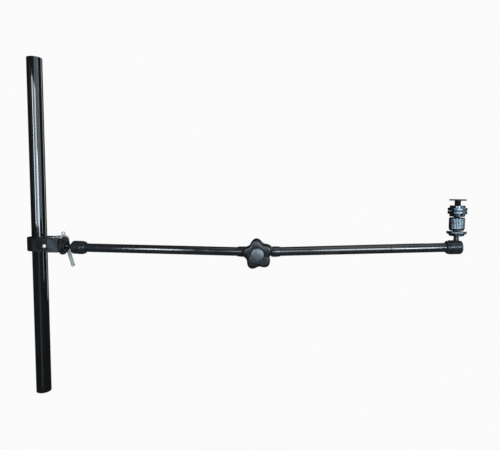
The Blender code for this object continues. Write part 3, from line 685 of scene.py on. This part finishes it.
def build_arm(side, axis, half):
    body = side + "_arm"
    mesh = turned_mesh("socket", rounded(socket_profile(), 0.2, True), axis, 128, True)
    notch = outline_mesh("notch", arc(2.9, -90, 90, 24) + [(-9.0, 2.9), (-9.0, -2.9)], 0.0, 12.0,
                         axis @ Matrix.Rotation(pi / 2, 4, "Y") @ Matrix.Rotation(pi, 4, "Z"), 0)
    mesh = carved(mesh, ("DIFFERENCE", notch))
    show(side + "_socket_fine", mesh, "turned_x", body, [side + "_socket"], 34)
    collar = [(4.95, 10.2), (5.4, 10.2), (6.7, 8.8), (6.7, 7.2), (5.3, 7.2), (5.3, 5.2), (4.95, 5.2)]
    turned(side + "_collar_fine", collar, axis, body, "turned_x", [side + "_collar"], 96, True)
    for part, low, high in (("outer", 7.9, SEAM - 0.15), ("inner", SEAM + 0.15, 185.4)):
        node = side + "_tube_" + part
        turned(node + "_fine", [(3.4, high), (TUBE_R, high), (TUBE_R, low), (3.4, low)], axis, body,
               "tube", [node], 96, True, None, 0.18)
    ferrule = [(4.9, 185.6), (5.45, 185.6), (5.65, 185.3), (5.65, 184.2), (5.45, 184.0), (5.45, 183.5),
               (5.62, 183.2), (5.3, 178.1), (5.1, 177.4), (4.9, 177.4)]
    turned(side + "_ferrule_fine", ferrule, axis, body, "turned_x", [side + "_ferrule"], 96, True,
           None, 0.15)
    build_hub(side, axis, body, half)


def build_hub(side, axis, body, half):
    near, far = 2.3, 8.0
    hub_axis = axis @ Matrix.Translation((0, 0, ARM_LENGTH)) @ Matrix.Rotation(-half * pi / 2, 4, "X")
    disc = [(0, far), (8.9, far), (9.8, far - 0.8), (9.8, near + 2.2), (9.5, near + 1.9), (9.5, near + 1.3),
            (9.8, near + 1.0), (9.8, near), (0, near)]
    mesh = turned_mesh("hub", rounded(disc, 0.25), hub_axis, 128)
    web = block_mesh("web", (-4.9, min(half * near, half * far), ARM_LENGTH - 13.7),
                     (4.9, max(half * near, half * far), ARM_LENGTH - 7.0), axis, 0.5)
    neck = turned_mesh("neck", rounded([(0, 186.7), (5.5, 186.7), (5.5, 185.9), (0, 185.9)], 0.15), axis, 96)
    spigot = rod_mesh("spigot", 3.1, 173.0, 186.3, axis, 48)
    bolt_hole = rod_mesh("bolt", 3.4, -30, 30, hub_axis)
    bore = rod_mesh("bore", 2.1, 168.0, 200.0, axis, 32)
    mesh = carved(mesh, ("UNION", web), ("UNION", neck), ("UNION", spigot), ("DIFFERENCE", bolt_hole),
                  ("DIFFERENCE", bore))
    show(side + "_hub_fine", mesh, "turned_y", body, [side + "_hub"], 34)


# ------------------------------------------------------------------ elbow

def star(angle):
    """Radius of the knob's five-lobed edge."""
    wave = 0.5 + 0.5 * cos(5 * (angle - KNOB_TURN))
    return KNOB_VALLEY_R + KNOB_LOBE * wave ** 0.85


def build_knob():
    """Star knob; a row below zero stands for the star's edge, less its inset and one more."""
    front, back = KNOB_FRONT, KNOB_BACK
    rows = [(5.0, back + 8.5), (0.01, back + 8.5), (0.01, front - 1.7), (7.35, front - 1.7),
            (7.35, front - 0.35), (7.7, front - 0.05), (8.1, front)]
    for inset, drop in ((2.9, 0.10), (2.2, 0.22), (1.5, 0.50), (0.9, 0.95), (0.45, 1.55), (0.15, 2.3),
                        (0.0, 3.3)):
        rows.append((-1.0 - inset, front - drop))
    rows += [(-1.0, front - 6.0), (-1.0, back + 2.0), (-1.15, back + 1.1), (-1.6, back + 0.4), (-2.4, back)]
    rows += [(7.5, back), (5.0, back)]

    def shape(r, z, angle):
        return star(angle) + r + 1.0 if r < 0 else r

    mesh = turned_mesh("knob", rows, ELBOW_AXIS, 240, True, shape)
    show("knob_fine", mesh, "knob", "elbow_knob", ["knob"], 42)
    turned("knob_cap_fine", [(0, front + 0.7), (2.5, front + 0.66), (4.6, front + 0.50), (6.0, front + 0.22),
                             (6.7, front - 0.1), (7.0, front - 0.5), (7.0, front - 1.4), (0, front - 1.4)],
           ELBOW_AXIS, "elbow_knob", "cap", ["knob_cap"], 128)
    outer, top = 4.7, 17.5
    insert = [(3.35, top), (outer, top), (outer, back), (3.35, back)]
    turned("knob_insert_fine", insert, ELBOW_AXIS, "elbow_knob", "brass", ["knob_insert"], 160, True,
           ribs(outer, 32, 0.2, back, top), 0.15)


def build_elbow_stack():
    body = "left_arm"
    cut = thread(BOLT_R, 1.0, 0.4, -13.0, -8.4)
    low, high = -13.2, 17.0
    rows = rounded([(0, high), (2.7, high), (BOLT_R, high - 0.4), (BOLT_R, low + 0.4), (2.7, low), (0, low)],
                   0.2)
    rows = dense(rows, 0.2, low, high)
    show("elbow_bolt_fine", turned_mesh("bolt", rows, ELBOW_AXIS, 64, False, cut), "steel_y", body,
         ["elbow_bolt"])
    for node, profile in (
            ("elbow_washer_front", [(3.4, 9.2), (8.4, 9.2), (8.4, 8.25), (3.4, 8.25)]),
            ("elbow_washer_back", [(3.4, -8.25), (7.4, -8.25), (7.4, -9.2), (3.4, -9.2)]),
            ("elbow_wedge", [(3.4, 2.0), (8.8, 2.0), (9.6, 1.1), (9.6, -1.1), (8.8, -2.0), (3.4, -2.0)])):
        turned(node + "_fine", profile, ELBOW_AXIS, body, "steel_y", [node], 96, True)
    hexagon = [(6.3 * cos(pi / 3 * i), 6.3 * sin(pi / 3 * i)) for i in range(6)]
    nut = outline_mesh("nut", hexagon, -14.1, -9.5, ELBOW_AXIS, 0.35)
    nut = carved(nut, ("DIFFERENCE", rod_mesh("bore", 3.35, -20, 0, ELBOW_AXIS)))
    show("elbow_nut_fine", nut, "steel_y", body, ["elbow_nut"], 32)


# ------------------------------------------------------------------ head

def build_head():
    low, high = 17.0, 30.2
    profile = [(STUD_BORE, high), (6.6, high), (COUPLER_R, high - 0.8), (COUPLER_R, low + 1.8),
               (6.8, low + 1.2), (6.8, low), (STUD_BORE, low)]
    turned("coupler_fine", profile, HEAD, "head", "coupler", ["head_coupler"], 288, True,
           ribs(COUPLER_R, 36, 0.22, low + 2.0, high - 0.9, 0.5, 0.8), 0.25, (0.4, low + 1.8, high - 0.8))
    lower = [(STUD_BORE, 36.55), (8.6, 36.55), (DISC_R, 36.15), (DISC_R, 33.9), (8.6, 33.5), (7.2, 33.5),
             (7.2, 31.4), (6.7, 30.9), (STUD_BORE, 30.9)]
    upper = [(STUD_BORE, 42.2), (6.7, 42.2), (7.2, 41.7), (7.2, 39.9), (8.6, 39.9), (DISC_R, 39.5),
             (DISC_R, 37.25), (8.6, 36.85), (STUD_BORE, 36.85)]
    for name, body, profile, rim in (("lock_disc_lower", "lower_disc", lower, 33.5),
                                     ("lock_disc_upper", "upper_disc", upper, 36.85)):
        turned(name + "_fine", profile, HEAD, body, "turned_z", [name], 320, True,
               ribs(DISC_R, 60, 0.10, rim + 0.3, rim + 2.75), 0.2, (0.35, rim, rim + 3.05))
    rows = rounded([(0, 47.4), (THREAD_R, 47.4), (THREAD_R, 26.4), (2.7, 26.0), (0, 26.0)], 0.2)
    cut = thread(THREAD_R, THREAD_PITCH, 0.45, 26.5, 46.8)
    show("foot_post", turned_mesh("post", dense(rows, 0.13, 26.4, 47.4), HEAD, 64, False, cut),
         "black_steel_z", "head")
    wide, deep, corner = 7.8, 8.8, 1.2
    plate = []
    for side_x, side_y, start in ((1, 1, 0), (-1, 1, 90), (-1, -1, 180), (1, -1, 270)):
        for x, y in arc(corner, start, start + 90, 6):
            plate.append((side_x * (wide - corner) + x, side_y * (deep - corner) + y))
    turned_head = HEAD @ Matrix.Rotation(PLATE_TURN, 4, "Z")
    mesh = outline_mesh("plate", plate, 47.0, 48.3, turned_head, 0.25)
    show("foot_plate", mesh, "foot", "head", ["shoe_foot"], 32)


# ------------------------------------------------------------------ inner pieces kept from the CAD model

def dress_inner_pieces():
    inner = {"left_seat": "nylon", "right_seat": "nylon",
             "left_push_rod": "steel_x", "right_push_rod": "steel_x",
             "left_tube_sleeve": "steel_x", "right_tube_sleeve": "steel_x"}
    for node, mat in inner.items():
        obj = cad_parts[node]
        obj.data.materials.clear()
        obj.data.materials.append(MAT[mat])
        obj.data.shade_smooth()
        obj.data.set_sharp_from_angle(angle=radians(35))


# ------------------------------------------------------------------ stage

FLOOR_Z = -0.45                 # metres, below the arm's lowest reach
FLOOR_GLOW = 0.86               # light the camera sees from the floor
FLOOR_BASE = 0.16
BACKDROP = 0.96                 # light the camera sees from the far floor and the world
AMBIENT = 0.03                  # light that everything else gets from them
LIGHT_TARGET = Vector((0.24, 0, 0.18))
COOL = (0.78, 0.90, 1.0)

CAMERA_AT = Vector((280.6, -453.1, 231.9))
CAMERA_YAW = radians(5.322)
CAMERA_PITCH = radians(4.474)
CAMERA_ROLL = radians(0.506)
CAMERA_LENS = 30.62


def direction(azimuth, elevation):
    """Unit vector toward a place seen from the object; azimuth 0 is -Y, 90 is +X."""
    a, e = radians(azimuth), radians(elevation)
    return Vector((sin(a) * cos(e), -cos(a) * cos(e), sin(e)))


def add_light(name, azimuth, elevation, distance, width, height, power, color=COOL):
    light = bpy.data.lights.new(name, "AREA")
    light.shape = "RECTANGLE"
    light.size = width
    light.size_y = height
    light.energy = power
    light.color = color
    obj = bpy.data.objects.new(name, light)
    away = direction(azimuth, elevation)
    obj.location = LIGHT_TARGET + away * distance
    obj.rotation_euler = away.to_track_quat("Z", "Y").to_euler()
    bpy.context.scene.collection.objects.link(obj)


def camera_only(tree, shown, hidden):
    """Strength that is shown to the camera and another one that everything else sees."""
    path = tree.nodes.new("ShaderNodeLightPath")
    node = tree.nodes.new("ShaderNodeMapRange")
    node.inputs["To Min"].default_value = hidden
    node.inputs["To Max"].default_value = shown
    tree.links.new(path.outputs["Is Camera Ray"], node.inputs["Value"])
    return node.outputs["Result"]


def build_floor():
    """Pale floor that fades into the backdrop, so that no horizon is seen."""
    bpy.ops.mesh.primitive_plane_add(size=8.0, location=(0.24, 0, FLOOR_Z))
    floor = bpy.context.object
    floor.name = "floor"
    floor.visible_glossy = False
    mat = bpy.data.materials.new("pale_floor")
    mat.use_nodes = True
    tree = mat.node_tree
    shader = tree.nodes["Principled BSDF"]
    shader.inputs["Base Color"].default_value = (FLOOR_BASE, FLOOR_BASE, FLOOR_BASE, 1)
    shader.inputs["Roughness"].default_value = 1.0
    shader.inputs["Specular IOR Level"].default_value = 0.0
    shader.inputs["Emission Color"].default_value = (1, 1, 1, 1)
    tree.links.new(camera_only(tree, FLOOR_GLOW, 0.0), shader.inputs["Emission Strength"])
    far = tree.nodes.new("ShaderNodeEmission")
    tree.links.new(camera_only(tree, BACKDROP, AMBIENT), far.inputs["Strength"])
    position = tree.nodes.new("ShaderNodeTexCoord")
    distance = tree.nodes.new("ShaderNodeVectorMath")
    distance.operation = "LENGTH"
    tree.links.new(position.outputs["Object"], distance.inputs[0])
    fade = tree.nodes.new("ShaderNodeMapRange")
    fade.interpolation_type = "SMOOTHSTEP"
    fade.inputs["From Min"].default_value = 0.3
    fade.inputs["From Max"].default_value = 0.8
    tree.links.new(distance.outputs["Value"], fade.inputs["Value"])
    blend = tree.nodes.new("ShaderNodeMixShader")
    tree.links.new(fade.outputs["Result"], blend.inputs["Fac"])
    tree.links.new(shader.outputs["BSDF"], blend.inputs[1])
    tree.links.new(far.outputs["Emission"], blend.inputs[2])
    tree.links.new(blend.outputs["Shader"], tree.nodes["Material Output"].inputs["Surface"])
    floor.data.materials.append(mat)


def build_lights():
    world = bpy.data.worlds.new("studio")
    bpy.context.scene.world = world
    world.use_nodes = True
    back = world.node_tree.nodes["Background"]
    back.inputs["Color"].default_value = (1.0, 1.0, 1.0, 1)
    world.node_tree.links.new(camera_only(world.node_tree, BACKDROP, AMBIENT), back.inputs["Strength"])

    add_light("pane_left", -22.7, 9, 1.06, 0.15, 0.46, 3.0)
    add_light("pane_middle", -2.3, 9, 1.0, 0.22, 0.46, 1.2)
    add_light("pane_right", 14, 9, 1.0, 0.26, 0.46, 3.0)
    add_light("window_near_right", 22, 13, 1.05, 0.45, 0.62, 0.9)
    add_light("bright_pane", 25, 2, 1.0, 0.12, 0.30, 2.0)
    add_light("window_front_low", 9, -15, 2.2, 1.0, 1.0, 0.8)
    add_light("window_left", -40, 8, 2.2, 0.6, 0.8, 0.35)
    add_light("window_right", 56, 12, 2.0, 0.9, 1.1, 4.5)
    add_light("strip_right", 79, 6, 2.0, 0.25, 1.4, 3.5)
    add_light("rim_right", 150, 8, 1.8, 0.5, 1.6, 5.0, (0.88, 0.96, 0.95))
    add_light("overhead", 40, 72, 1.6, 1.2, 1.2, 3.5, (1.0, 1.0, 1.0))


def build_camera():
    """Camera turned left by the yaw, down by the pitch, then rolled about its view."""
    forward = Vector((-sin(CAMERA_YAW) * cos(CAMERA_PITCH), cos(CAMERA_YAW) * cos(CAMERA_PITCH),
                      -sin(CAMERA_PITCH)))
    flat = Vector((cos(CAMERA_YAW), sin(CAMERA_YAW), 0.0))
    up = flat.cross(forward)
    right = flat * cos(CAMERA_ROLL) + up * sin(CAMERA_ROLL)
    up = up * cos(CAMERA_ROLL) - flat * sin(CAMERA_ROLL)
    cam = bpy.data.cameras.new("camera")
    cam.lens = CAMERA_LENS
    cam.sensor_width = 36.0
    cam.sensor_fit = "HORIZONTAL"
    cam.clip_start = 0.01
    cam.clip_end = 50.0
    obj = bpy.data.objects.new("camera", cam)
    turn = Matrix((right, up, -forward)).transposed().to_4x4()
    obj.matrix_world = Matrix.Translation(CAMERA_AT * MM) @ turn
    bpy.context.scene.collection.objects.link(obj)
    bpy.context.scene.camera = obj


build_pole()
build_clamp()
build_clamp_screw()
build_studs()
build_wheel("left_lock_wheel", LEFT_STUD, "left_wheel", "wheel", LEFT_WHEEL_R, LEFT_WHEEL_LOW)
build_wheel("right_lock_wheel", HEAD, "right_wheel", "turned_z", RIGHT_WHEEL_R, RIGHT_WHEEL_LOW)
build_arm("left", LEFT_ARM, -1)
build_arm("right", RIGHT_ARM, 1)
build_knob()
build_elbow_stack()
build_head()
dress_inner_pieces()
build_floor()
build_lights()
build_camera()
bpy.context.scene.view_settings.view_transform = "Standard"
